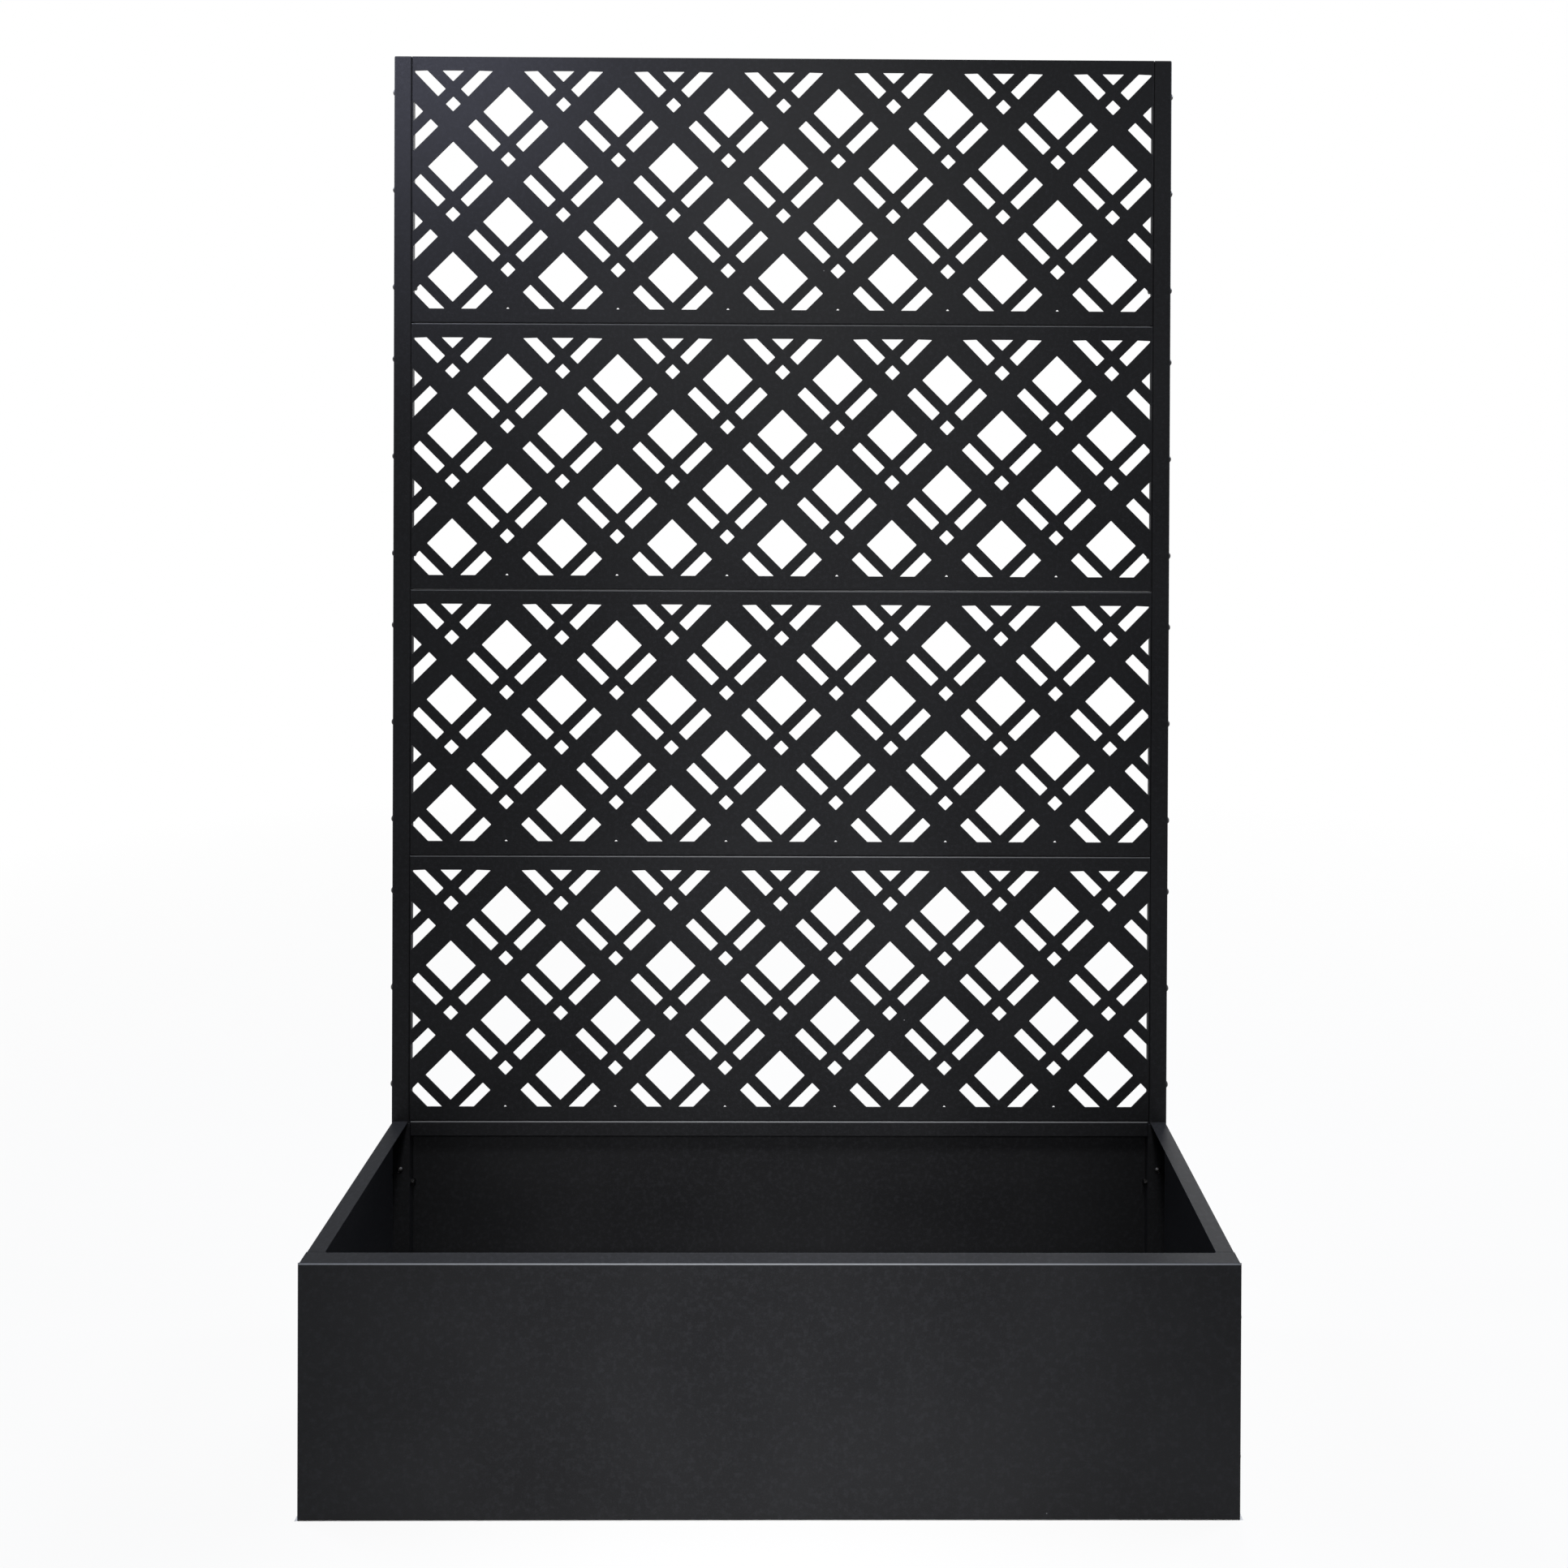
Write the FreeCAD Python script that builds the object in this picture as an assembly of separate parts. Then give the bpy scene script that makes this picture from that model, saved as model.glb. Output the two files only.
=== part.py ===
# A steel planter box with a tall trellis screen standing along its back, in millimetres.
#
# Two rectangular tube posts stand on the ground at the back corners. Four laser-cut and folded trellis
# panels are stacked between them, flush with their front faces, and bolted through the posts. In front
# stands an open box of folded sheet: a front panel, two side panels and a back panel with inward lips,
# and a drop-in floor on ribs.
#
# The origin is on the ground, under the middle of the object. X is the width, the front faces -Y, Z is up.
# What repeats is drawn with few faces: the bends are rounded outside and sharp inside, the floor's ribs have
# sharp bends, and the bolts have square shanks, in square holes that keep them from turning. Threads aren't
# drawn, so each shank ends where its closed nut begins.

import FreeCAD, Part
import math
import os

Vector = FreeCAD.Vector
X_AXIS = Vector(1, 0, 0)
Y_AXIS = Vector(0, 1, 0)
Z_AXIS = Vector(0, 0, 1)
CENTRE = Vector(0, 0, 0)

# Overall sizes
overall_width = 1100.0        # over the outer faces of the two posts
overall_depth = 300.0         # from the front face to the back of the posts
box_height = 300.0            # from the ground to the rim of the box

# Folded sheet
sheet = 1.5
bend_radius = 2.0             # on the outside of a bend
relief_slit = 1.0             # slit that parts two flanges at a corner
fit_gap = 0.3                 # play between folded parts that slip together

# Posts and their plastic end plugs
post_width = 25.0
post_depth = 15.0
tube_wall = 1.5
tube_corner = 2.0             # on the outside of the tube
plug_head = 2.0
plug_inset = 0.4              # from the outside of the tube to the plug's head
plug_chamfer = 0.9
plug_length = 12.0
plug_play = 0.2

# Trellis panels
panel_count = 4
panel_height = 376.0
panel_gap = 0.8
panel_flange = 10.0
window_margin = 20.0          # uncut sheet above and below the openings
window_edge = 0.3             # uncut sheet between the side bends and the openings

# Lattice: crossing wide and narrow bars, turned by 45 degrees
lattice_angle = 45.0
large_opening = 50.0
narrow_bar = 15.0
small_opening = 15.0
wide_bar = 30.0
least_opening = 10.0          # smallest area of a clipped opening that is cut, in square millimetres

# Box panels
front_lip_width = 20.0
side_lip_width = 22.0
front_return = 10.0           # height of the front lip's turned-down edge
back_return = 20.0            # height of the back lip's turned-down edge
front_side_flange = 20.0
rim_notch = 5.0               # how far the front panel's side flanges stay below the rim
side_front_flange = 20.0
side_rear_flange = 25.0
bottom_flange = 22.0

# Floor and its ribs
floor_flange = 20.0
floor_play = 0.5
rib_width = 40.0
rib_count = 3
rib_spacing = 265.0
drain_slot_length = 24.0
drain_slot_width = 8.0
drain_rows = 2
drain_row_spacing = 120.0
drain_margin = 70.0           # from the floor's end to the first drain slot

# Bolts with low heads and square shanks, and their closed hexagon nuts
bolt_width = 5.0              # across the square shank
bolt_play = 0.25              # between a shank and its hole, on each side
head_sides = 8
head_width = 9.5
head_crown = 5.5              # width of the head's flat top
head_height = 2.75
nut_sides = 6
nut_width = 8.0
nut_height = 5.0
panel_bolt_setback = 6.0      # from the posts' front face
panel_bolt_spacing = 137.5
panel_bolt_rows = 3
back_bolt_inset = 90.0        # from the rim and from the ground
corner_bolt_inset = 68.0      # from the rim and from the ground
front_bolt_setback = 10.0     # from the front face

# Sizes that follow from those above
front = -overall_depth / 2.0
back = overall_depth / 2.0
post_front = back - post_depth
post_outside = overall_width / 2.0
post_inside = post_outside - post_width
panel_width = 2.0 * post_inside
panel_pitch = panel_height + panel_gap
overall_height = box_height + panel_count * panel_pitch
side_outside = post_outside - sheet
side_inside = side_outside - sheet
lip_back = front + front_lip_width
floor_top = sheet + floor_flange
past = 5.0                    # how far a cutting body reaches past what it cuts


# Shapes that several parts use


def block(x_range, y_range, z_range):
    """A block between two values along each axis."""
    corner = Vector(x_range[0], y_range[0], z_range[0])
    sizes = [high - low for low, high in (x_range, y_range, z_range)]
    return Part.makeBox(*sizes, corner)


def is_near(value, target):
    return abs(value - target) < 0.001


def edges_along(shape, axis):
    return [edge for edge in shape.Edges if is_near(abs(edge.tangentAt(edge.FirstParameter).dot(axis)), 1.0)]


def edges_within(shape, picks):
    """The edges whose ends are all picked."""
    return [edge for edge in shape.Edges if all(picks(vertex.Point) for vertex in edge.Vertexes)]


def moved(shape, x=0.0, y=0.0, z=0.0):
    copy = shape.copy()
    copy.translate(Vector(x, y, z))
    return copy


def turned(shape, axis, angle):
    copy = shape.copy()
    copy.rotate(CENTRE, axis, angle)
    return copy


def placed(shape, point, direction):
    """The shape with its own +Z turned along a direction and its own origin at a point."""
    copy = shape.copy()
    copy.Placement = FreeCAD.Placement(point, FreeCAD.Rotation(Z_AXIS, direction))
    return copy


def spread(count, spacing):
    """Evenly spaced values centred on zero."""
    return [(index - (count - 1) / 2.0) * spacing for index in range(count)]


def mirrored(shape):
    """The same shape on the other side of the object."""
    return shape.mirror(CENTRE, X_AXIS)


def polygon(corners):
    """A flat face with straight sides."""
    return Part.Face(Part.makePolygon(corners + corners[:1]))


def square_bar(half_width, z_range):
    """A bar along Z, square in section and centred on Z."""
    return block((-half_width, half_width), (-half_width, half_width), z_range)


def pierced(shape, points, direction, depth):
    """The shape with a square bolt hole through each point, both ways along a direction."""
    cutter = square_bar(bolt_width / 2.0 + bolt_play, (-depth, depth))
    return shape.cut([placed(cutter, point, direction) for point in points])


def folded_tray(width, height, left, right, bottom, top):
    """A sheet with its four edges folded back, face on y = 0, lower left corner at the origin.

    The bottom and top flanges run the whole width. The side flanges stop at a relief slit beside them.
    """
    deepest = max(left, right, bottom, top)
    reach = deepest + past
    outside = block((0, width), (0, deepest), (0, height))
    outside = outside.makeFillet(bend_radius, edges_within(outside, lambda point: is_near(point.y, 0)))
    inside = block((sheet, width - sheet), (sheet, reach), (sheet, height - sheet))

    cuts = [inside]
    for flange, near, far in ((left, -past, sheet), (right, width - sheet, width + past)):
        if flange < deepest:
            cuts.append(block((near, far), (flange, reach), (sheet, height - sheet)))
        for low in (sheet, height - sheet - relief_slit):
            cuts.append(block((near, far), (bend_radius, reach), (low, low + relief_slit)))
    for flange, near, far in ((bottom, -past, sheet), (top, height - sheet, height + past)):
        if flange < deepest:
            cuts.append(block((-past, width + past), (flange, reach), (near, far)))
    return outside.cut(cuts)


def with_return(tray, x_range, lip, height, drop):
    """A tray whose top lip has its free edge turned down, between two values along the lip."""
    fold_start = lip - bend_radius - sheet
    lip_edge = block(x_range, (fold_start, lip + past), (height - sheet - past, height + past))
    outside = block(x_range, (fold_start, lip), (height - drop, height))
    outer_corner = edges_within(outside, lambda point: is_near(point.y, lip) and is_near(point.z, height))
    outside = outside.makeFillet(bend_radius, outer_corner)
    inner_x = (x_range[0] - past, x_range[1] + past)
    inside = block(inner_x, (fold_start - past, lip - sheet), (height - drop - past, height - sheet))
    return tray.cut(lip_edge).fuse(outside.cut(inside)).removeSplitter()


# Posts


def post_block(inset, z_range):
    """The right post's section drawn in from its outer faces, between two heights."""
    x_range = (post_inside + inset, post_outside - inset)
    return block(x_range, (post_front + inset, back - inset), z_range)


def right_post():
    """A rectangular tube with holes through it for the panel bolts, and in front for the corner bolts."""
    span = (plug_head, overall_height - plug_head)
    tube = post_block(0.0, span)
    tube = tube.makeFillet(tube_corner, edges_along(tube, Z_AXIS))
    tube = tube.cut(post_block(tube_wall, (span[0] - past, span[1] + past)))
    tube = pierced(tube, through_bolt_points(), X_AXIS, post_width + past)
    return pierced(tube, rear_bolt_points(), Y_AXIS, post_depth / 2.0)


def right_post_foot():
    """A moulded plug: a chamfered head that the post stands on, and a body pushed into the tube."""
    head = post_block(plug_inset, (0.0, plug_head))
    upright = edges_along(head, Z_AXIS)
    ground = edges_within(head, lambda point: is_near(point.z, 0))
    head = head.makeChamfer(plug_chamfer, upright + ground)
    body = post_block(tube_wall + plug_play, (plug_head, plug_head + plug_length))
    return head.fuse(body)


def right_post_cap():
    """The same plug turned over, at the top of the post."""
    middle_y = (post_front + back) / 2.0
    cap = turned(moved(right_post_foot(), y=-middle_y), X_AXIS, 180.0)
    return moved(cap, y=middle_y, z=overall_height)


# Trellis panels


def opening_face(centre, along, across, length, width):
    """A rectangular opening in the lattice, given by its two directions and its two sizes."""
    end = along * (length / 2.0)
    side = across * (width / 2.0)
    return polygon([centre - end - side, centre + end - side, centre + end + side, centre - end + side])


def lattice_faces():
    """Every opening of the lattice that may touch a panel, drawn on the panel's front face.

    One row of large openings is centred on the panel's top edge, with one opening on the centreline.
    Each large opening has a slot past each of its two lower sides, and a small square below its foot.
    """
    angle = math.radians(lattice_angle)
    right_down = Vector(math.cos(angle), 0, -math.sin(angle))
    left_down = Vector(-math.sin(angle), 0, -math.cos(angle))
    pitch = large_opening + narrow_bar + small_opening + wide_bar
    offset = large_opening / 2.0 + narrow_bar + small_opening / 2.0
    start = Vector(panel_width / 2.0, 0, panel_height)
    reach = math.ceil((panel_width + panel_height) / pitch) + 1
    faces = []
    for column in range(-reach, reach + 1):
        for row in range(-reach, reach + 1):
            centre = start + right_down * (column * pitch) + left_down * (row * pitch)
            if not -pitch < centre.x < panel_width + pitch:
                continue
            if not -pitch < centre.z < panel_height + pitch:
                continue
            right_slot = centre + right_down * offset
            left_slot = centre + left_down * offset
            foot = right_slot + left_down * offset
            faces += [
                opening_face(centre, right_down, left_down, large_opening, large_opening),
                opening_face(right_slot, right_down, left_down, small_opening, large_opening),
                opening_face(left_slot, right_down, left_down, large_opening, small_opening),
                opening_face(foot, right_down, left_down, small_opening, small_opening),
            ]
    return faces


def window_face():
    """The part of a panel's face in which openings are cut."""
    left = bend_radius + window_edge
    right = panel_width - left
    low = window_margin
    high = panel_height - window_margin
    corners = [(left, low), (right, low), (right, high), (left, high)]
    return polygon([Vector(x, 0, z) for x, z in corners])


def trellis_panel():
    """One laser-cut panel: a folded tray with the lattice cut through its face, standing on z = 0."""
    flanges = [panel_flange] * 4
    tray = folded_tray(panel_width, panel_height, *flanges)
    clipped = Part.makeCompound(lattice_faces()).common(window_face())
    openings = [face for face in clipped.Faces if face.Area > least_opening]
    cutters = [moved(face, y=-past).extrude(Y_AXIS * (sheet + 2.0 * past)) for face in openings]
    panel = moved(tray.cut(cutters), x=-panel_width / 2.0, y=post_front)
    holes = [
        Vector(side * post_inside, post_front + panel_bolt_setback, height)
        for side in (-1, 1)
        for height in panel_bolt_heights(0.0)
    ]
    return pierced(panel, holes, X_AXIS, past)


def panel_foot(index):
    """The height of a trellis panel's lower edge, counted from the top panel."""
    return overall_height - panel_height - index * panel_pitch


# Box panels


def front_panel():
    """The front of the box: lip, face, side flanges that wrap the side panels, and bottom flange.

    Both ends are notched below the rim, so that the lip ends in line with the side panels' outer faces.
    """
    panel = folded_tray(
        overall_width, box_height, front_side_flange, front_side_flange, bottom_flange, front_lip_width
    )
    start = post_outside - side_inside + side_lip_width
    panel = with_return(panel, (start, overall_width - start), front_lip_width, box_height, front_return)
    panel = moved(panel, x=-post_outside, y=front)
    notch_y = (front + bend_radius, front + max(front_side_flange, front_lip_width) + past)
    notch_z = (box_height - rim_notch, box_height + past)
    notch = block((side_outside, post_outside + past), notch_y, notch_z)
    panel = panel.cut([notch, mirrored(notch)])
    return pierced(panel, front_bolt_points(1) + front_bolt_points(-1), X_AXIS, past)


def left_side_panel():
    """A side of the box: it slips behind the front panel and is bolted to the front of the post."""
    length = post_front - front - sheet
    panel = folded_tray(
        length, box_height, side_rear_flange, side_front_flange, bottom_flange, side_lip_width
    )
    panel = moved(turned(panel, Z_AXIS, -90.0), x=-side_outside, y=post_front)
    clear = bend_radius + fit_gap
    notch_x = (-side_outside - past, -side_outside + side_rear_flange + past)
    notches = [
        block(notch_x, (front, front + bottom_flange + fit_gap), (-past, clear)),
        block(notch_x, (front, lip_back + fit_gap), (box_height - clear, box_height + past)),
    ]
    panel = panel.cut(notches)
    panel = pierced(panel, front_bolt_points(-1), X_AXIS, past)
    return pierced(panel, rear_bolt_points(-1), Y_AXIS, past)


def back_panel():
    """The back of the box, between the posts: its wall is flush with their backs, its lip turned down."""
    panel = folded_tray(panel_width, box_height, *([post_depth] * 4))
    lip_start = bend_radius + fit_gap
    panel = with_return(panel, (lip_start, panel_width - lip_start), post_depth, box_height, back_return)
    panel = moved(turned(panel, Z_AXIS, 180.0), x=panel_width / 2.0, y=back)
    holes = [
        Vector(side * post_inside, post_front + panel_bolt_setback, height)
        for side in (-1, 1)
        for height in back_bolt_heights()
    ]
    return pierced(panel, holes, X_AXIS, past)


# Floor

floor_front = front + 2.0 * sheet + floor_play
floor_back = back - sheet - floor_play
floor_side = side_inside - floor_play


def floor_panel():
    """A loose floor with turned-down edges, notched round the posts, with drain slots."""
    depth = floor_back - floor_front
    panel = folded_tray(2.0 * floor_side, depth, *([floor_flange] * 4))
    panel = moved(turned(panel, X_AXIS, -90.0), x=-floor_side, y=floor_front, z=floor_top)
    tongue = min(side_outside - side_rear_flange, post_inside - sheet) - floor_play
    notch_y = (post_front - sheet - floor_play, back)
    notches = [
        block(x_range, notch_y, (-past, floor_top + past))
        for x_range in ((-post_outside, -tongue), (tongue, post_outside))
    ]
    return panel.cut(notches + drain_cutters())


def drain_cutters():
    """Drain slots in rows, one in each bay between the ribs and one near each end."""
    middle = (floor_front + floor_back) / 2.0
    bays = spread(rib_count + 1, rib_spacing)
    columns = [column for column in bays if abs(column) < floor_side - drain_margin]
    x_range = (-drain_slot_length / 2.0, drain_slot_length / 2.0)
    y_range = (middle - drain_slot_width / 2.0, middle + drain_slot_width / 2.0)
    rows = spread(drain_rows, drain_row_spacing)
    slot = block(x_range, y_range, (floor_top - sheet - past, floor_top + past))
    return [moved(slot, x=column, y=row) for column in columns for row in rows]


def floor_rib(middle):
    """A channel from front to back that carries the floor on the front and back bottom flanges."""
    x_range = (-rib_width / 2.0, rib_width / 2.0)
    y_range = (floor_front + sheet + floor_play, floor_back - sheet - floor_play)
    z_range = (sheet, floor_top - sheet)
    inside = block(
        (x_range[0] + sheet, x_range[1] - sheet),
        (y_range[0] - past, y_range[1] + past),
        (z_range[0] - past, z_range[1] - sheet),
    )
    return moved(block(x_range, y_range, z_range).cut(inside), x=middle)


# Bolts and nuts


def panel_bolt_heights(foot):
    return [foot + panel_height / 2.0 + step for step in spread(panel_bolt_rows, panel_bolt_spacing)]


def back_bolt_heights():
    return [back_bolt_inset, box_height - back_bolt_inset]


def through_bolt_points(side=1):
    """Where the long bolts enter a post's outer face, to hold the trellis panels and the back panel."""
    heights = back_bolt_heights()
    for index in range(panel_count):
        heights += panel_bolt_heights(panel_foot(index))
    return [Vector(side * post_outside, post_front + panel_bolt_setback, height) for height in heights]


def rear_bolt_points(side=1):
    """Where the corner bolts enter a side panel's rear flange, inside the box."""
    middle = side * (post_inside + post_width / 2.0)
    heights = (corner_bolt_inset, box_height - corner_bolt_inset)
    return [Vector(middle, post_front - sheet, height) for height in heights]


def front_bolt_points(side=1):
    """Where the short bolts enter the front panel's side flange."""
    heights = (corner_bolt_inset, box_height - corner_bolt_inset)
    return [Vector(side * post_outside, front + front_bolt_setback, height) for height in heights]


def regular_outline(sides, width, z):
    """The corners of a regular polygon round Z, given by its width across opposite sides."""
    radius = width / 2.0 / math.cos(math.pi / sides)
    turns = [2.0 * math.pi * step / sides for step in range(sides)]
    return [Vector(radius * math.cos(turn), radius * math.sin(turn), z) for turn in turns]


def bolt(grip):
    """A bolt along +Z for a stack of a given thickness: its low head is below z = 0, its shank above."""
    rim = regular_outline(head_sides, head_width, 0.0)
    crown = regular_outline(head_sides, head_crown, -head_height)
    flanks = [polygon([rim[i - 1], rim[i], crown[i], crown[i - 1]]) for i in range(head_sides)]
    head = Part.Solid(Part.Shell([polygon(rim), polygon(crown)] + flanks))
    return head.fuse(square_bar(bolt_width / 2.0, (0.0, grip)))


def nut():
    """A closed hexagon nut along +Z, from z = 0 up."""
    return polygon(regular_outline(nut_sides, nut_width, 0.0)).extrude(Z_AXIS * nut_height)


def group(shape, points, direction, depth=0.0):
    """Copies of a fastener, each set a depth past its point along a direction."""
    return Part.makeCompound([placed(shape, point + direction * depth, direction) for point in points])


through_grip = post_width + sheet
front_grip = 2.0 * sheet
rear_grip = sheet + tube_wall


def right_post_bolts():
    return group(bolt(through_grip), through_bolt_points(), -X_AXIS)


def right_post_nuts():
    return group(nut(), through_bolt_points(), -X_AXIS, through_grip)


def on_both_sides(right):
    """One compound of a group of fasteners on the right and the same group on the left."""
    return Part.makeCompound(right.Solids + mirrored(right).Solids)


# The whole object


def all_parts():
    """Every sub-part by name."""
    parts = {}
    for name, make in (
        ("post", right_post),
        ("post_cap", right_post_cap),
        ("post_foot", right_post_foot),
        ("post_bolts", right_post_bolts),
        ("post_nuts", right_post_nuts),
    ):
        parts["right_" + name] = make()
        parts["left_" + name] = mirrored(parts["right_" + name])

    panel = trellis_panel()
    for index in range(panel_count):
        parts[f"trellis_panel_{index + 1}"] = moved(panel, z=panel_foot(index))

    parts["front_panel"] = front_panel()
    parts["left_side_panel"] = left_side_panel()
    parts["right_side_panel"] = mirrored(parts["left_side_panel"])
    parts["back_panel"] = back_panel()
    parts["floor_panel"] = floor_panel()
    for index, middle in enumerate(spread(rib_count, rib_spacing)):
        parts[f"floor_rib_{index + 1}"] = floor_rib(middle)

    parts["front_corner_bolts"] = on_both_sides(group(bolt(front_grip), front_bolt_points(), -X_AXIS))
    parts["front_corner_nuts"] = on_both_sides(group(nut(), front_bolt_points(), -X_AXIS, front_grip))
    parts["rear_corner_bolts"] = on_both_sides(group(bolt(rear_grip), rear_bolt_points(), Y_AXIS))
    parts["rear_corner_nuts"] = on_both_sides(group(nut(), rear_bolt_points(), Y_AXIS, rear_grip))
    return parts


os.makedirs("parts", exist_ok=True)
for name, shape in all_parts().items():
    shape.exportStep(f"parts/{name}.step")
    print(f"{name}: {len(shape.Solids)} solids, {shape.Volume / 1000.0:.1f} cm3, valid {shape.isValid()}")
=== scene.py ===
# The looks of a black steel planter box with a tall lattice screen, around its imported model, in metres.
import bpy
import bmesh
import math
from mathutils import Matrix, Vector
from mathutils.geometry import delaunay_2d_cdt


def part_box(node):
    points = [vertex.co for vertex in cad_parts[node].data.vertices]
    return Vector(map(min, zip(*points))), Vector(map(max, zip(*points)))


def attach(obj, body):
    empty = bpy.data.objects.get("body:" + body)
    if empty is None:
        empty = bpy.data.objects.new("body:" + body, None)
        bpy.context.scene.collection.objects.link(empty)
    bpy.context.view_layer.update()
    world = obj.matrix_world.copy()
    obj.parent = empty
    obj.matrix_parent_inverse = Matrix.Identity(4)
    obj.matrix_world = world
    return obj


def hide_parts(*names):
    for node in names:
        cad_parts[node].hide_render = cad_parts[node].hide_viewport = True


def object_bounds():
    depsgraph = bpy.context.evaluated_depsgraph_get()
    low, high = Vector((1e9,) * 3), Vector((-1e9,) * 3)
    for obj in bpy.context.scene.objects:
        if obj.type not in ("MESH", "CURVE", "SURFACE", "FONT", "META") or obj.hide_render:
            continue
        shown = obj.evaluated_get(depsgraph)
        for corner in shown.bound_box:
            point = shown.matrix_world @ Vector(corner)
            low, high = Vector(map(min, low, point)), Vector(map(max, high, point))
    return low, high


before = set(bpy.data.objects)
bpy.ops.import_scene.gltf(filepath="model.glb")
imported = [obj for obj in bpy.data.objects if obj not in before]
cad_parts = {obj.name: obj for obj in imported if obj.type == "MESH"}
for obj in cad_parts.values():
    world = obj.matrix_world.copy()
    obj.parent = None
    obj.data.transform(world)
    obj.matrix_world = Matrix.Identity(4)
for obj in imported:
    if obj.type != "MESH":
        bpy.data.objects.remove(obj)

cad_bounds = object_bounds()
scene = bpy.context.scene


# Viewpoint
# The camera stands in front of the middle, a little above the middle of the screen, and looks level.
# Its lens is shifted down, so that the posts stay upright and the box still fits in the picture.

eye = (0.0543, -1.4496, 1.2239)
camera_tilt = math.radians(89.789)
camera_roll = math.radians(-0.234)
camera_turn = math.radians(-0.310)
sensor_width = 36.0           # in millimetres, as is the lens
lens_length = 25.687
lens_shift = (-0.0272, -0.1971)
nearest_view = 0.05

camera = bpy.data.objects.new("camera", bpy.data.cameras.new("camera"))
camera.location = eye
camera.rotation_euler = (camera_tilt, camera_roll, camera_turn)
camera.data.sensor_width = sensor_width
camera.data.lens = lens_length
camera.data.shift_x, camera.data.shift_y = lens_shift
camera.data.clip_start = nearest_view
scene.collection.objects.link(camera)
scene.camera = camera
scene.view_settings.view_transform = "Standard"


# Studio
# A pale floor that runs out of sight and a white surround. Soft-edged beams from in front and above light
# the middle of the screen, the front panel and the box, and a cooler one comes from the upper left. A dim
# panel high on each side reaches the inner walls, and a broad lamp behind shows the folds of the back.

white = (1.0, 1.0, 1.0)
surround_strength = 0.06
floor_size = 40.0
floor_tone = 0.80
floor_white_near = 0.92       # the share of plain white in a view of the floor beside the box
floor_fade = (0.8, 2.8)       # how far from the box that share begins to grow, and reaches the whole
beam_softness = 0.30
background_rays = ("Is Camera Ray", "Is Glossy Ray", "Is Transmission Ray")
beams = {
    "upper_screen": {
        "place": (-0.10, -3.20, 2.60), "target": (-0.02, 0.135, 1.45),
        "angle": 26.0, "power": 240.0, "colour": white,
    },
    "lower_screen": {
        "place": (0.0, -3.20, 1.60), "target": (0.0, 0.135, 0.55),
        "angle": 20.0, "power": 87.0, "colour": white,
    },
    "front_panel": {
        "place": (0.0, -2.60, 2.20), "target": (-0.02, -0.15, 0.22),
        "angle": 22.0, "power": 320.0, "colour": white,
    },
    "box": {
        "place": (0.05, -1.20, 3.20), "target": (0.03, 0.10, 0.20),
        "angle": 24.0, "power": 310.0, "colour": white,
    },
    "upper_left": {
        "place": (-1.35, -2.30, 2.75), "target": (-0.60, 0.135, 2.0),
        "angle": 24.0, "power": 430.0, "colour": (0.74, 0.76, 1.0),
    },
}
broad_lamps = {
    "right_fill_panel": {
        "place": (1.6, 0.12, 2.4), "target": (-0.5, 0.0, 0.2),
        "size": 0.6, "power": 34.0, "colour": (0.80, 0.86, 1.0),
    },
    "left_fill_panel": {
        "place": (-1.6, 0.12, 2.4), "target": (0.5, 0.0, 0.2),
        "size": 0.6, "power": 34.0, "colour": (0.80, 0.86, 1.0),
    },
    "rear_lamp": {
        "place": (1.2, 3.2, 2.4), "target": (0.0, 0.15, 0.9),
        "size": 1.8, "power": 60.0, "colour": white,
    },
}


def hang_lamp(name, kind, facts):
    """Hangs a lamp at its place, aims it at its target and returns its data."""
    lamp = bpy.data.lights.new(name, kind)
    lamp.energy = facts["power"]
    lamp.color = facts["colour"]
    holder = bpy.data.objects.new(name, lamp)
    holder.location = facts["place"]
    aim = Vector(facts["target"]) - Vector(facts["place"])
    holder.rotation_euler = aim.to_track_quat("-Z", "Y").to_euler()
    scene.collection.objects.link(holder)
    return lamp


def combined(tree, operation, first, second):
    """The socket of one step of arithmetic on two values, each a socket or a number."""
    node = tree.nodes.new("ShaderNodeMath")
    node.operation = operation
    for socket, value in zip(node.inputs, (first, second)):
        if isinstance(value, float):
            socket.default_value = value
        else:
            tree.links.new(value, socket)
    return node.outputs[0]


def remap(tree, value, low, high, to_low, to_high):
    """A socket's value moved from one range to another, and kept within it."""
    node = tree.nodes.new("ShaderNodeMapRange")
    for name, number in zip(("From Min", "From Max", "To Min", "To Max"), (low, high, to_low, to_high)):
        node.inputs[name].default_value = number
    tree.links.new(value, node.inputs["Value"])
    return node.outputs["Result"]


def shader_mix(tree, share, first, second):
    node = tree.nodes.new("ShaderNodeMixShader")
    for socket, source in zip(node.inputs, (share, first, second)):
        tree.links.new(source, socket)
    return node.outputs[0]


def any_ray(tree, kinds):
    """A socket that is 1 for any of the named kinds of ray."""
    path = tree.nodes.new("ShaderNodeLightPath")
    found = path.outputs[kinds[0]]
    for kind in kinds[1:]:
        found = combined(tree, "MAXIMUM", found, path.outputs[kind])
    return found


def distance_from_box(tree):
    """A socket with the distance of a point of the floor from the box's footprint, 0 within it."""
    place = tree.nodes.new("ShaderNodeTexCoord")
    value = place.outputs["Object"]
    for operation in ("ABSOLUTE", "SUBTRACT", "MAXIMUM", "LENGTH"):
        step = tree.nodes.new("ShaderNodeVectorMath")
        step.operation = operation
        tree.links.new(value, step.inputs[0])
        if operation == "SUBTRACT":
            step.inputs[1].default_value = (cad_bounds[1][0], cad_bounds[1][1], 0.0)
        value = step.outputs["Value" if operation == "LENGTH" else "Vector"]
    return value


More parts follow.
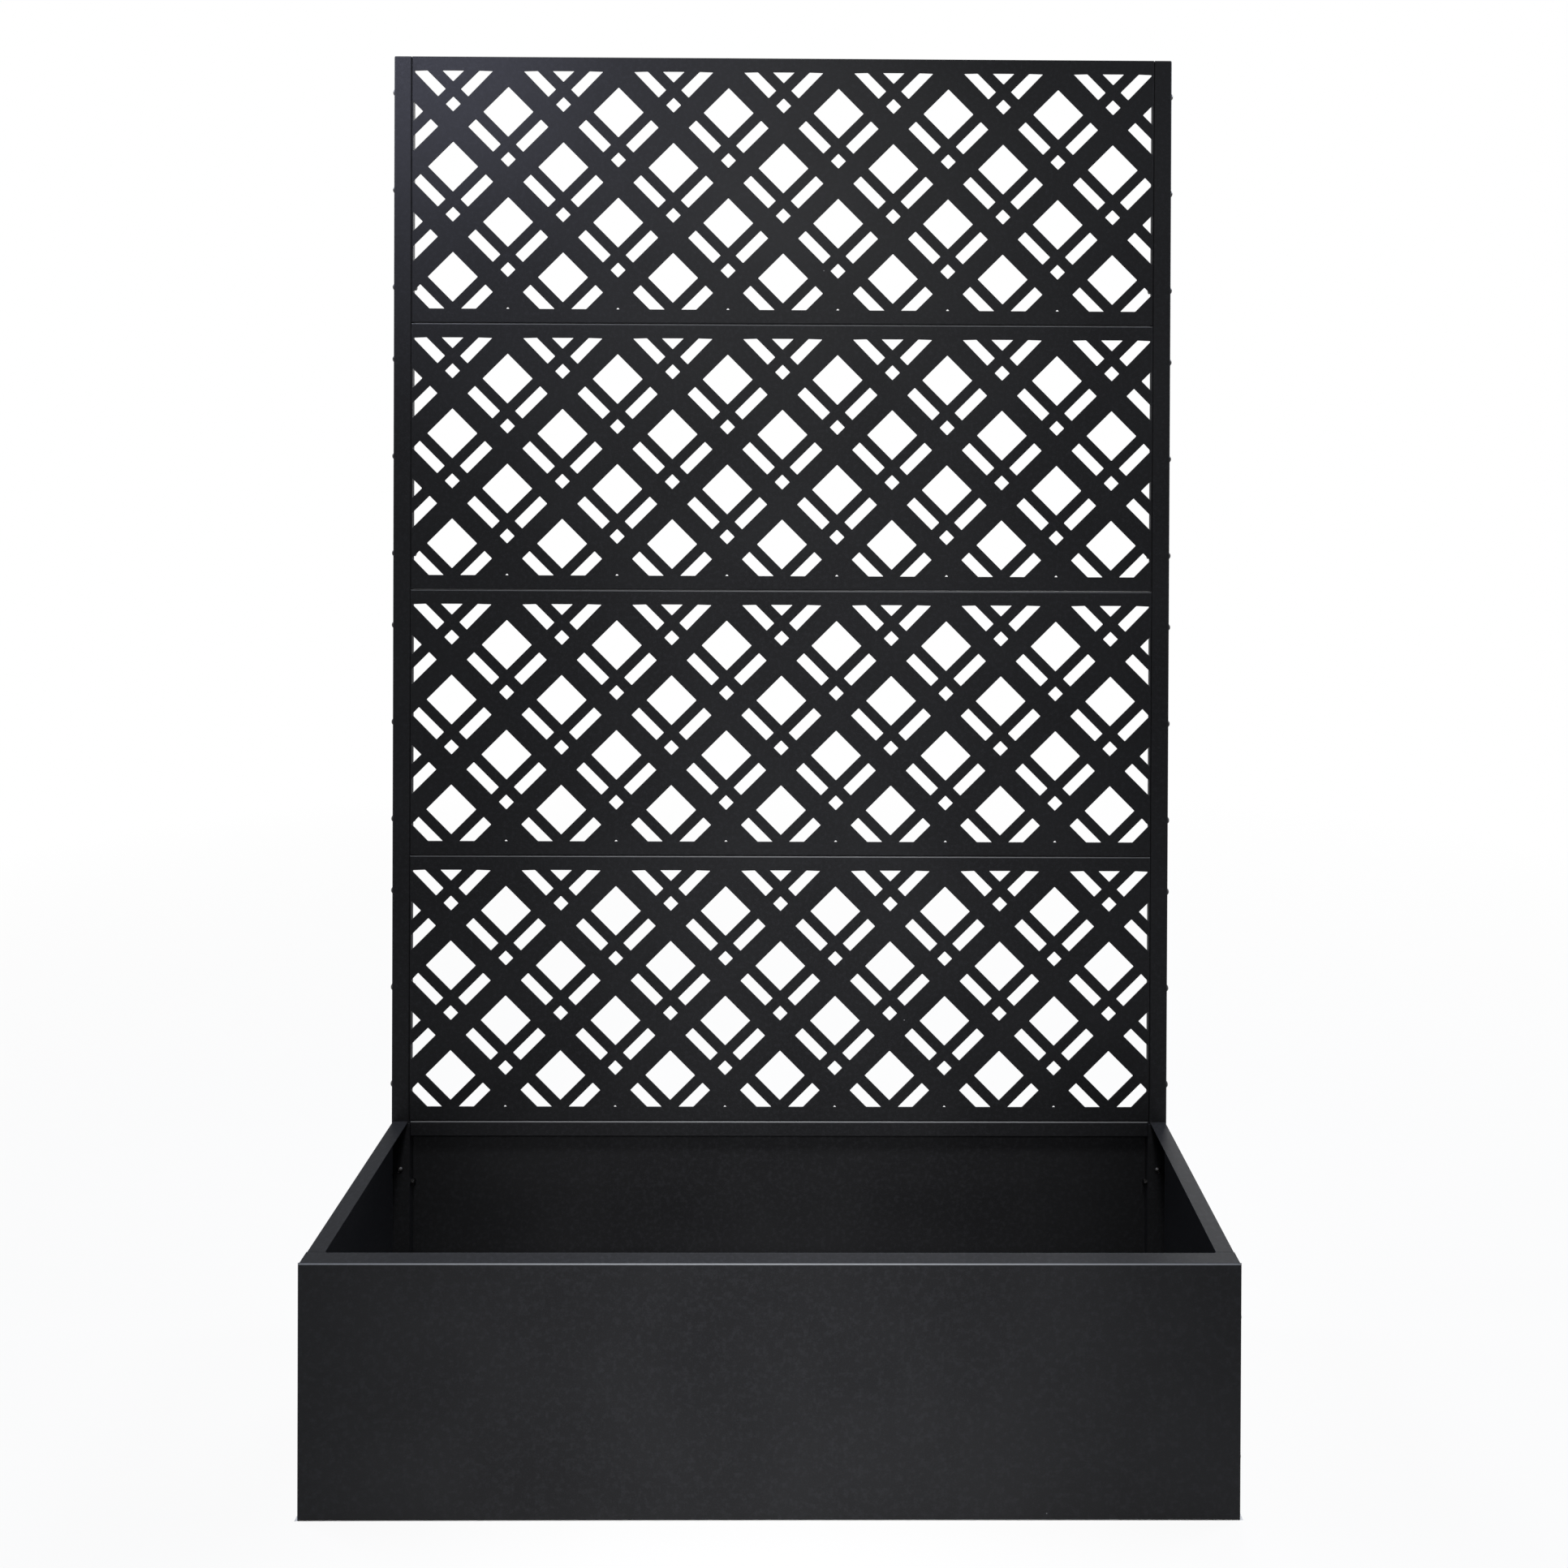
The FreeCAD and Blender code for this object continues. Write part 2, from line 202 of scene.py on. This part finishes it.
for name, facts in beams.items():
    lamp = hang_lamp(name + "_beam", "SPOT", facts)
    lamp.spot_size = math.radians(facts["angle"])
    lamp.spot_blend = 1.0
    lamp.shadow_soft_size = beam_softness

for name, facts in broad_lamps.items():
    lamp = hang_lamp(name, "AREA", facts)
    lamp.size = facts["size"]

# The surround is plain white where it is seen, and lights the object only a little.
world = bpy.data.worlds.new("surround")
scene.world = world
world.use_nodes = True
tree = world.node_tree
tree.nodes.clear()
skies = []
for strength in (surround_strength, 1.0):
    sky = tree.nodes.new("ShaderNodeBackground")
    sky.inputs["Color"].default_value = (*white, 1.0)
    sky.inputs["Strength"].default_value = strength
    skies.append(sky.outputs[0])
surround = tree.nodes.new("ShaderNodeOutputWorld")
tree.links.new(shader_mix(tree, any_ray(tree, background_rays), *skies), surround.inputs["Surface"])

# The floor is matt, so that shadows fall on it, but a view of it is mostly plain white. Below the box it
# is matt alone.
floor_material = bpy.data.materials.new("floor")
floor_material.use_nodes = True
tree = floor_material.node_tree
tree.nodes.clear()
matt = tree.nodes.new("ShaderNodeBsdfDiffuse")
matt.inputs["Color"].default_value = (floor_tone, floor_tone, floor_tone, 1.0)
glow = tree.nodes.new("ShaderNodeEmission")
glow.inputs["Color"].default_value = (*white, 1.0)
glow.inputs["Strength"].default_value = 1.0
distance = distance_from_box(tree)
whiteness = remap(tree, distance, *floor_fade, floor_white_near, 1.0)
open_share = combined(tree, "MULTIPLY", whiteness, combined(tree, "GREATER_THAN", distance, 0.0))
seen_share = combined(tree, "MULTIPLY", any_ray(tree, background_rays), open_share)
surface = tree.nodes.new("ShaderNodeOutputMaterial")
tree.links.new(shader_mix(tree, seen_share, matt.outputs[0], glow.outputs[0]), surface.inputs["Surface"])

mesh = bpy.data.meshes.new("floor")
bm = bmesh.new()
bmesh.ops.create_grid(bm, x_segments=1, y_segments=1, size=floor_size / 2.0)
bm.to_mesh(mesh)
bm.free()
mesh.materials.append(floor_material)
floor = bpy.data.objects.new("floor", mesh)
scene.collection.objects.link(floor)


# Posts
# Two rectangular steel tubes, 25 by 15 mm, stand at the back corners and carry the screen. They are
# drilled for the bolts, and coated all over with the same fine-textured black powder as the sheets.

merge_distance = 0.00001
flat_angle = math.radians(0.4)          # faces that meet within it are one flat face
edge_angle = math.radians(30.0)         # edges that turn by more are rounded
edge_steps = 2
soft_edge = 0.00028                     # how far the coating rounds a cut edge
flat_weight = 80                        # how firmly a flat face keeps its shading beside a rounded edge
coat_colour = (0.0135, 0.0137, 0.0149, 1.0)
coat_light_colour = (0.0180, 0.0183, 0.0197, 1.0)
coat_grain_colour = (0.036, 0.037, 0.042, 1.0)
coat_gloss = 0.065                      # how strongly its smooth skin throws light back
# Light grey for specks of dust, for a trace of dust and painted light on level faces, and for a painted
# highlight along bends that face up.
dust_and_highlight_colour = (0.21, 0.215, 0.225, 1.0)
# Each noise has its waves per metre, its levels of detail and how rough these are.
grain_noise = (700.0, 3.0, 0.6)         # the powder's fine texture
mottle_noise = (170.0, 3.0, 0.65)       # small, soft changes of tone
patch_noise = (5.0, 3.0, 0.5)           # slow changes of tone across a sheet
# Each range of a noise comes with the range that it turns into.
patch_tone = (0.35, 0.65, 0.0, 1.0)
mottle_tone = (0.48, 0.70, 0.0, 0.30)
grain_tone = (0.56, 0.74, 0.0, 0.5)
coat_roughness = (0.3, 0.7, 0.40, 0.52)
grain_relief = (0.00006, 0.55)          # its height and its strength
speck_scale = 34.0                      # of the cells that may hold a speck of dust
speck_radii = (0.020, 0.034)            # in cells, where a speck starts to fade and where it ends
speck_odds = (0.955, 0.960)             # cells that drew a higher number hold a speck
level_dust_and_light = 0.012                      # the share of a level face that dust covers and painted light brightens
level_slope = 0.99                      # a face whose normal rises more steeply is level
bend_painted_highlight = 0.9                         # the share of painted highlight midway along a bend that faces up
bend_highlight_focus = 3                     # how soon that share falls off on both sides


def noise(tree, scale, detail, roughness):
    texture = tree.nodes.new("ShaderNodeTexNoise")
    place = tree.nodes.new("ShaderNodeTexCoord")
    texture.inputs["Scale"].default_value = scale
    texture.inputs["Detail"].default_value = detail
    texture.inputs["Roughness"].default_value = roughness
    tree.links.new(place.outputs["Object"], texture.inputs["Vector"])
    return texture.outputs["Fac"]


def mixed(tree, share, first, second):
    """A colour between two, each a socket or four numbers."""
    node = tree.nodes.new("ShaderNodeMix")
    node.data_type = "RGBA"
    tree.links.new(share, node.inputs["Factor"])
    for name, colour in (("A", first), ("B", second)):
        socket = next(s for s in node.inputs if s.name == name and s.type == "RGBA")
        if isinstance(colour, tuple):
            socket.default_value = colour
        else:
            tree.links.new(colour, socket)
    return next(s for s in node.outputs if s.type == "RGBA")


def bumped(tree, height, distance, strength):
    node = tree.nodes.new("ShaderNodeBump")
    node.inputs["Strength"].default_value = strength
    node.inputs["Distance"].default_value = distance
    tree.links.new(height, node.inputs["Height"])
    return node.outputs["Normal"]


def dust_specks(tree):
    """A socket that is 1 in a few tiny, scattered spots: one in some of the cells of a loose pattern."""
    place = tree.nodes.new("ShaderNodeTexCoord")
    cells = tree.nodes.new("ShaderNodeTexVoronoi")
    cells.inputs["Scale"].default_value = speck_scale
    tree.links.new(place.outputs["Object"], cells.inputs["Vector"])
    dice = tree.nodes.new("ShaderNodeSeparateColor")
    tree.links.new(cells.outputs["Color"], dice.inputs["Color"])
    spot = remap(tree, cells.outputs["Distance"], *speck_radii, 1.0, 0.0)
    chosen = remap(tree, dice.outputs["Red"], *speck_odds, 0.0, 1.0)
    return combined(tree, "MULTIPLY", spot, chosen)


def new_material(name):
    """A material with its nodes and its shader, still plain."""
    material = bpy.data.materials.new(name)
    material.use_nodes = True
    tree = material.node_tree
    return material, tree, tree.nodes["Principled BSDF"]


def powder_coat():
    """Satin black powder: a fine grain, slow changes of tone and gloss, a little dust, and a painted
    highlight along bends that face up.
    """
    material, tree, shader = new_material("black_powder_coat")
    shader.inputs["Specular IOR Level"].default_value = coat_gloss
    grain = noise(tree, *grain_noise)
    patches = remap(tree, noise(tree, *patch_noise), *patch_tone)
    mottles = remap(tree, noise(tree, *mottle_noise), *mottle_tone)
    colour = mixed(tree, patches, coat_colour, coat_light_colour)
    colour = mixed(tree, mottles, colour, coat_grain_colour)
    colour = mixed(tree, remap(tree, grain, *grain_tone), colour, coat_grain_colour)
    # The sheet's attribute paints a highlight along bends that face up, and dust with a little painted light
    # on level faces.
    layer = tree.nodes.new("ShaderNodeAttribute")
    layer.attribute_name = "dust_and_painted_highlight"
    colour = mixed(tree, layer.outputs["Fac"], colour, dust_and_highlight_colour)
    colour = mixed(tree, dust_specks(tree), colour, dust_and_highlight_colour)
    tree.links.new(colour, shader.inputs["Base Color"])
    tree.links.new(remap(tree, grain, *coat_roughness), shader.inputs["Roughness"])
    tree.links.new(bumped(tree, grain, *grain_relief), shader.inputs["Normal"])
    return material


def merged(node):
    """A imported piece's mesh with its loose triangles joined."""
    bm = bmesh.new()
    bm.from_mesh(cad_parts[node].data)
    bmesh.ops.remove_doubles(bm, verts=bm.verts, dist=merge_distance)
    return bm


def make_flats_whole(bm):
    bmesh.ops.dissolve_limit(bm, angle_limit=flat_angle, verts=bm.verts, edges=bm.edges)


def cad_copy(node):
    bm = merged(node)
    make_flats_whole(bm)
    return bm


def finish_piece(name, bm, material, nodes, edge_width=soft_edge, segments=edge_steps):
    """Makes the object, rounds its sharp edges as far as its finish does, and puts it in its nodes' place."""
    mesh = bpy.data.meshes.new(name)
    bm.to_mesh(mesh)
    bm.free()
    mesh.materials.clear()
    mesh.materials.append(material)
    mesh.shade_smooth()
    piece = bpy.data.objects.new(name, mesh)
    scene.collection.objects.link(piece)
    if edge_width:
        bevel = piece.modifiers.new("soft_edges", "BEVEL")
        bevel.width = edge_width
        bevel.segments = segments
        bevel.limit_method = "ANGLE"
        bevel.angle_limit = edge_angle
    flats = piece.modifiers.new("flat_faces_stay_flat", "WEIGHTED_NORMAL")
    flats.weight = flat_weight
    flats.keep_sharp = True
    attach(piece, "root")
    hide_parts(*nodes)
    return piece


def settle_dust_and_paint_highlights(bm):
    """Notes each face's share of light grey: dust and a little painted light on a level face, a painted
    highlight along a bend that faces up.
    """
    bm.normal_update()
    layer = bm.faces.layers.float.new("dust_and_painted_highlight")
    for face in bm.faces:
        if face.normal.z > level_slope:
            face[layer] = level_dust_and_light
        else:
            slant = max(0.0, 2.0 * abs(face.normal.y) * face.normal.z)
            face[layer] = bend_painted_highlight * slant ** bend_highlight_focus


coat = powder_coat()
for side in ("left", "right"):
    node = side + "_post"
    finish_piece(node + "_tube", cad_copy(node), coat, [node])


# Post plugs
# A moulded black plastic plug closes each end of a post. Its head is as wide as the tube and has a
# rounded edge; its body is pushed into the tube and can't be seen.

plug_edge = 0.0006
plug_edge_steps = 3
plastic_colour = (0.016, 0.016, 0.017, 1.0)
plastic_worn_colour = (0.04, 0.04, 0.042, 1.0)
plastic_gloss = 0.4
pebble_noise = (1400.0, 2.0, 0.5)
pebble_relief = (0.00005, 0.6)
scuff_noise = (60.0, 5.0, 0.65)
scuff_tone = (0.52, 0.75, 0.0, 1.0)
plastic_roughness = (0.3, 0.7, 0.5, 0.7)


def moulded_plastic():
    """Black plastic with a pebbled skin, a little worn in patches."""
    material, tree, shader = new_material("black_plastic")
    shader.inputs["Specular IOR Level"].default_value = plastic_gloss
    pebbles = noise(tree, *pebble_noise)
    scuffs = noise(tree, *scuff_noise)
    colour = mixed(tree, remap(tree, scuffs, *scuff_tone), plastic_colour, plastic_worn_colour)
    tree.links.new(colour, shader.inputs["Base Color"])
    tree.links.new(remap(tree, scuffs, *plastic_roughness), shader.inputs["Roughness"])
    tree.links.new(bumped(tree, pebbles, *pebble_relief), shader.inputs["Normal"])
    return material


plastic = moulded_plastic()
for side in ("left", "right"):
    for end in ("cap", "foot"):
        node = f"{side}_post_{end}"
        finish_piece(
            node + "_plug", cad_copy(node), plastic, [node], plug_edge, plug_edge_steps
        )


# Screen
# Four steel sheets, 1.5 mm thick, have the lattice cut through them by laser and their edges folded back.
# The beam leaves each opening with slightly rounded corners, and the coating softens the cut edges. Along
# the foot of each sheet the tips of the next row of large openings show as six small three-cornered holes.

sheet_count = 4
sheet_thickness = 0.0015
opening_corner = 0.0009
opening_corner_steps = 3
shortest_side = 0.0022        # of an opening; a shorter one becomes a corner
rim_bands = 2                 # of the rounded edge round an opening
sharp_angle = math.radians(50.0)
tip_width = 0.00489
tip_height = 0.002446
tip_spacing = 0.155563        # the lattice repeats every 110 mm along its bars, which lie at 45 degrees
tip_margin = 0.020            # from the foot of the sheet
tips_per_sheet = 6
near = 0.00005                # points closer than this to a plane lie in it
facing = 0.9999               # how far at least a flat face's normal points across the sheet
within_outlines = 1           # makes the triangulation leave out what lies outside all outlines
same_point = 0.0000001


def shells(bm):
    """The separate shells of a mesh, each as a list of its faces."""
    found = []
    for face in bm.faces:
        face.tag = False
    for first in bm.faces:
        if first.tag:
            continue
        first.tag = True
        shell = [first]
        for face in shell:
            for edge in face.edges:
                for neighbour in edge.link_faces:
                    if not neighbour.tag:
                        neighbour.tag = True
                        shell.append(neighbour)
        found.append(shell)
    return found


def new_verts(grown):
    return [item for item in grown if isinstance(item, bmesh.types.BMVert)]


def add_tip_walls(bm, low):
    """The walls of the small holes at the sheet's foot, each a triangle with its point upwards."""
    outline = ((-tip_width / 2.0, 0.0), (0.0, tip_height), (tip_width / 2.0, 0.0))
    foot = low.z + tip_margin
    for number in range(tips_per_sheet):
        middle = (number - (tips_per_sheet - 1) / 2.0) * tip_spacing
        points = [bm.verts.new((middle + across, low.y, foot + up)) for across, up in outline]
        rim = [bm.edges.new((points[i], points[(i + 1) % 3])) for i in range(3)]
        deep = new_verts(bmesh.ops.extrude_edge_only(bm, edges=rim)["geom"])
        bmesh.ops.translate(bm, verts=deep, vec=(0.0, sheet_thickness, 0.0))


def opening_edges(bm, back):
    """The edges of the openings' walls, which end at the sheet's back face, unlike its folds."""
    walls = [shell for shell in shells(bm) if max(v.co.y for face in shell for v in face.verts) < back + near]
    edges = dict.fromkeys(edge for shell in walls for face in shell for edge in face.edges)
    return sorted(edges, key=lambda edge: edge.index)


def depth(edge):
    """How far an edge leads through the sheet."""
    return abs(edge.verts[0].co.y - edge.verts[1].co.y)


def rounded_rim(bm, rim, face_depth, inwards):
    """Rounds a hole's cut edge: its rim sinks, and narrow bands lead out to the sheet's face."""
    bm.normal_update()
    places = {}
    for edge in rim:
        for vertex in edge.verts:
            places[vertex] = (vertex.co.copy(), vertex.normal * -vertex.calc_shell_factor())
    for vertex in places:
        vertex.co.y = face_depth + inwards * soft_edge
    for band in range(1, rim_bands + 1):
        angle = band / rim_bands * math.pi / 2.0
        grown = bmesh.ops.extrude_edge_only(bm, edges=rim)["geom"]
        fresh = new_verts(grown)
        known = set(fresh)
        for vertex in fresh:
            source = next(
                edge.other_vert(vertex) for edge in vertex.link_edges if edge.other_vert(vertex) not in known
            )
            place, away = places[source]
            vertex.co = place + away * soft_edge * (1.0 - math.cos(angle))
            vertex.co.y = face_depth + inwards * soft_edge * (1.0 - math.sin(angle))
            places[vertex] = (place, away)
        rim = [
            item
            for item in grown
            if isinstance(item, bmesh.types.BMEdge) and all(vertex in known for vertex in item.verts)
        ]
    return rim


def fill_between(bm, outer, holes):
    """Fills a flat face that stands upright between its outer edges and the edges of its holes."""
    edges = outer + holes
    corners = list(dict.fromkeys(vertex for edge in edges for vertex in edge.verts))
    number = {vertex: index for index, vertex in enumerate(corners)}
    flat = [Vector((vertex.co.x, vertex.co.z)) for vertex in corners]
    pairs = [tuple(number[vertex] for vertex in edge.verts) for edge in edges]
    found = delaunay_2d_cdt(flat, pairs, [], within_outlines, same_point)
    triangles, sources = found[2], found[3]
    triangles = [tuple(sources[point][0] for point in triangle) for triangle in triangles]
    beside = {}
    for triangle in triangles:
        for side in range(3):
            beside.setdefault(frozenset((triangle[side], triangle[side - 1])), []).append(triangle)
    limits = {frozenset(pair) for pair in pairs}
    chosen = dict.fromkeys(triangle for pair in pairs[:len(outer)] for triangle in beside[frozenset(pair)])
    waiting = list(chosen)
    for triangle in waiting:
        for side in range(3):
            edge = frozenset((triangle[side], triangle[side - 1]))
            if edge in limits:
                continue
            for neighbour in beside[edge]:
                if neighbour not in chosen:
                    chosen[neighbour] = None
                    waiting.append(neighbour)
    for triangle in chosen:
        bm.faces.new([corners[point] for point in triangle])


def lattice_sheet(node):
    """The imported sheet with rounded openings: its two flat faces are taken off and filled in anew."""
    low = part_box(node)[0]
    front, back = low.y, low.y + sheet_thickness
    bm = merged(node)
    bm.normal_update()
    flats = [
        face
        for face in bm.faces
        if abs(face.normal.y) > facing and min(abs(face.verts[0].co.y - y) for y in (front, back)) < near
    ]
    bmesh.ops.delete(bm, geom=flats, context="FACES")
    add_tip_walls(bm, low)
    make_flats_whole(bm)
    sides = [edge for edge in opening_edges(bm, back) if depth(edge) < near]
    bmesh.ops.collapse(bm, edges=[edge for edge in sides if edge.calc_length() < shortest_side])
    corners = [edge for edge in opening_edges(bm, back) if depth(edge) > near]
    bmesh.ops.bevel(
        bm, geom=corners, offset=opening_corner, segments=opening_corner_steps, profile=0.5,
        affect="EDGES", material=-1,
    )
    walls = set(opening_edges(bm, back))
    outlines = []
    for face_depth, inwards in ((front, 1.0), (back, -1.0)):
        level = [
            edge
            for edge in bm.edges
            if edge.is_boundary and all(abs(vertex.co.y - face_depth) < near for vertex in edge.verts)
        ]
        outer = [edge for edge in level if edge not in walls]
        holes = rounded_rim(bm, [edge for edge in level if edge in walls], face_depth, inwards)
        outlines.append((outer, holes))
    for outer, holes in outlines:
        fill_between(bm, outer, holes)
    bmesh.ops.recalc_face_normals(bm, faces=bm.faces)
    return bm


for index in range(1, sheet_count + 1):
    node = f"trellis_panel_{index}"
    bm = lattice_sheet(node)
    if index > 1:  # the top sheet gets no painted highlight along its upper bend, and no dust
        settle_dust_and_paint_highlights(bm)
    sheet = finish_piece(f"lattice_sheet_{index}", bm, coat, [node], edge_width=0.0)
    sheet.data.set_sharp_from_angle(angle=sharp_angle)


# Box
# The front, the two sides and the back are folded from the same sheet. Each has an inward lip at the rim,
# and the front's and the back's lips have their free edges turned down.


def add_folded_sheet(node):
    """A packed sheet with soft edges, dust, and a painted highlight along its bends that face up."""
    bm = cad_copy(node)
    settle_dust_and_paint_highlights(bm)
    finish_piece(node + "_sheet", bm, coat, [node])


for node in ("front_panel", "left_side_panel", "right_side_panel", "back_panel"):
    add_folded_sheet(node)


# Floor of the box
# A folded tray with drain slots drops in from above and rests on three channels, all of them coated.

for node in ("floor_panel", "floor_rib_1", "floor_rib_2", "floor_rib_3"):
    add_folded_sheet(node)


# Bolts
# Black zinc-plated M5 screws with low domed heads and a 3 mm hexagon socket. They hold the sheets to the
# posts from outside, the sides to the posts from inside the box, and the front to the sides.

bolt_nodes = ("right_post_bolts", "left_post_bolts", "front_corner_bolts", "rear_corner_bolts")
bolt_radius = 0.0025
bolt_end_chamfer = 0.0005
bolt_head_radius = 0.00475
bolt_head_height = 0.00275
bolt_head_foot_chamfer = 0.0001
bolt_head_side = 0.0006       # how high the head's side stands before its dome begins
bolt_dome_rise = 0.0003       # how far the dome bulges over a straight slope
dome_steps = 6
socket_corner_radius = 0.00173
socket_depth = 0.0016
socket_rim_width = 0.0003
socket_rim_depth = 0.0001
socket_cone = 0.0004          # how much deeper the middle of the socket's floor is
turned_steps = 24
seam_gap = 0.000001           # points of a turned surface closer than this are one
bolt_turn = 37.0              # in degrees, from one bolt's socket to the next one's
zinc_dark_colour = (0.030, 0.030, 0.034, 1.0)
zinc_light_colour = (0.085, 0.083, 0.080, 1.0)
stain_noise = (240.0, 4.0, 0.6)
zinc_roughness = (0.3, 0.7, 0.26, 0.42)
plating_noise = (2600.0, 2.0, 0.5)
plating_relief = (0.00002, 0.5)


def turned(points, steps):
    """A closed or open surface of revolution about Z through points given as radius and height."""
    bm = bmesh.new()
    line = [bm.verts.new((radius, 0.0, height)) for radius, height in points]
    edges = [bm.edges.new(pair) for pair in zip(line, line[1:])]
    bmesh.ops.spin(
        bm, geom=line + edges, cent=(0.0, 0.0, 0.0), axis=(0.0, 0.0, 1.0), angle=2.0 * math.pi,
        steps=steps, use_merge=True,
    )
    bmesh.ops.remove_doubles(bm, verts=bm.verts, dist=seam_gap)
    return bm


def domed(start, end, rise):
    """Points along an arc from one radius and height to another, bulging outwards by the given rise."""
    start, end = Vector(start), Vector(end)
    chord = end - start
    out = Vector((chord.y, -chord.x)).normalized()
    shares = [step / dome_steps for step in range(dome_steps + 1)]
    return [tuple(start + chord * share + out * rise * 4.0 * share * (1.0 - share)) for share in shares]


def socket_screw(length):
    """A screw along -Z whose head sits on the plane z = 0, with its hexagon socket sunk from above."""
    bm = turned(
        [(0.0, -length), (bolt_radius - bolt_end_chamfer, -length), (bolt_radius, -length + bolt_end_chamfer)]
        + [(bolt_radius, 0.0), (bolt_head_radius - bolt_head_foot_chamfer, 0.0)]
        + [(bolt_head_radius, bolt_head_foot_chamfer)]
        + domed(
            (bolt_head_radius, bolt_head_side),
            (socket_corner_radius + socket_rim_width, bolt_head_height),
            bolt_dome_rise,
        ),
        turned_steps,
    )
    rim = [edge for edge in bm.edges if edge.is_boundary and edge.verts[0].co.z > 0.0]
    hexagon = bmesh.ops.create_circle(bm, cap_ends=False, segments=6, radius=socket_corner_radius)["verts"]
    bmesh.ops.translate(bm, verts=hexagon, vec=(0.0, 0.0, bolt_head_height - socket_rim_depth))
    sides = [edge for edge in bm.edges if all(vertex in hexagon for vertex in edge.verts)]
    bmesh.ops.subdivide_edges(bm, edges=sides, cuts=turned_steps // 6 - 1)
    sides = [edge for edge in bm.edges if not edge.link_faces]
    bmesh.ops.bridge_loops(bm, edges=rim + sides)
    deep = new_verts(bmesh.ops.extrude_edge_only(bm, edges=sides)["geom"])
    bmesh.ops.translate(bm, verts=deep, vec=(0.0, 0.0, -socket_depth))
    socket_floor = bmesh.ops.edgeloop_fill(bm, edges=[edge for edge in bm.edges if edge.is_boundary])["faces"]
    middle = bmesh.ops.poke(bm, faces=socket_floor)["verts"]
    bmesh.ops.translate(bm, verts=middle, vec=(0.0, 0.0, -socket_cone))
    bmesh.ops.recalc_face_normals(bm, faces=bm.faces)
    return bm


def solids_of(node):
    """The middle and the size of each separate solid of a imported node."""
    bm = merged(node)
    boxes = []
    for shell in shells(bm):
        points = [vertex.co for face in shell for vertex in face.verts]
        low = Vector([min(point[axis] for point in points) for axis in range(3)])
        high = Vector([max(point[axis] for point in points) for axis in range(3)])
        boxes.append(((low + high) / 2.0, high - low))
    bm.free()
    return boxes


def add_copy(bm, part, place, direction, turn=0.0):
    """Adds a copy of a part that is modelled along Z, turned about its own axis and then aimed."""
    first = len(bm.verts)
    mesh = bpy.data.meshes.new("part")
    part.to_mesh(mesh)
    bm.from_mesh(mesh)
    bpy.data.meshes.remove(mesh)
    bm.verts.ensure_lookup_table()
    aim = Vector((0.0, 0.0, 1.0)).rotation_difference(direction).to_matrix().to_4x4()
    matrix = Matrix.Translation(place) @ aim @ Matrix.Rotation(turn, 4, "Z")
    bmesh.ops.transform(bm, matrix=matrix, verts=bm.verts[first:])


def black_zinc():
    """Black-passivated zinc plate: a dark metal with a faint, uneven sheen."""
    material, tree, shader = new_material("black_zinc")
    shader.inputs["Metallic"].default_value = 1.0
    stains = noise(tree, *stain_noise)
    plating = noise(tree, *plating_noise)
    colour = mixed(tree, stains, zinc_dark_colour, zinc_light_colour)
    tree.links.new(colour, shader.inputs["Base Color"])
    tree.links.new(remap(tree, stains, *zinc_roughness), shader.inputs["Roughness"])
    tree.links.new(bumped(tree, plating, *plating_relief), shader.inputs["Normal"])
    return material


bolt_finish = black_zinc()
for node in bolt_nodes:
    bm = bmesh.new()
    for number, (middle, size) in enumerate(solids_of(node)):
        if node == "rear_corner_bolts":
            direction = Vector((0.0, -1.0, 0.0))
        else:
            direction = Vector((math.copysign(1.0, middle.x), 0.0, 0.0))
        length = abs(size.dot(direction))
        seat = middle + direction * (length / 2.0 - bolt_head_height)
        screw = socket_screw(length - bolt_head_height)
        add_copy(bm, screw, seat, direction, math.radians(bolt_turn * number))
        screw.free()
    finish_piece(node[:-1] + "_set", bm, bolt_finish, [node], edge_width=0.0)


# Nuts
# Closed nuts, 8 mm across their flats and plated like the bolts, are screwed on to the bolts' hidden ends.
# They are turned from round bar with a domed top and milled to six flats, which leaves a chamfer at each
# corner.

nut_nodes = ("right_post_nuts", "left_post_nuts", "front_corner_nuts", "rear_corner_nuts")
nut_flats = 0.008
nut_height = 0.005
nut_dome_height = 0.0011
nut_dome_radius = 0.0034
nut_dome_rise = 0.0004
nut_chamfer = 0.0004
nut_chamfer_slope = 1.7       # how many times wider than high a chamfer is
nut_steps = 36


def cap_nut():
    """A nut along Z that sits on the plane z = 0."""
    corner = nut_flats / math.sqrt(3.0)
    end = corner - nut_chamfer * nut_chamfer_slope
    shoulder = nut_height - nut_dome_height
    bm = turned(
        [(0.0, 0.0), (end, 0.0), (corner, nut_chamfer), (corner, shoulder - nut_chamfer), (end, shoulder)]
        + domed((nut_dome_radius, shoulder), (0.0, nut_height), nut_dome_rise),
        nut_steps,
    )
    for side in range(6):
        angle = math.radians(30.0 + 60.0 * side)
        outwards = Vector((math.cos(angle), math.sin(angle), 0.0))
        cut = bmesh.ops.bisect_plane(
            bm, geom=bm.verts[:] + bm.edges[:] + bm.faces[:], plane_co=outwards * nut_flats / 2.0,
            plane_no=outwards, clear_outer=True,
        )
        edges = [item for item in cut["geom_cut"] if isinstance(item, bmesh.types.BMEdge)]
        bmesh.ops.edgeloop_fill(bm, edges=edges)
    bmesh.ops.recalc_face_normals(bm, faces=bm.faces)
    return bm


nut = cap_nut()
for node in nut_nodes:
    bm = bmesh.new()
    for middle, size in solids_of(node):
        if node == "rear_corner_nuts":
            direction = Vector((0.0, 1.0, 0.0))
        else:
            direction = Vector((-math.copysign(1.0, middle.x), 0.0, 0.0))
        add_copy(bm, nut, middle - direction * abs(size.dot(direction)) / 2.0, direction)
    finish_piece(node[:-1] + "_set", bm, bolt_finish, [node], edge_width=0.0)
nut.free()
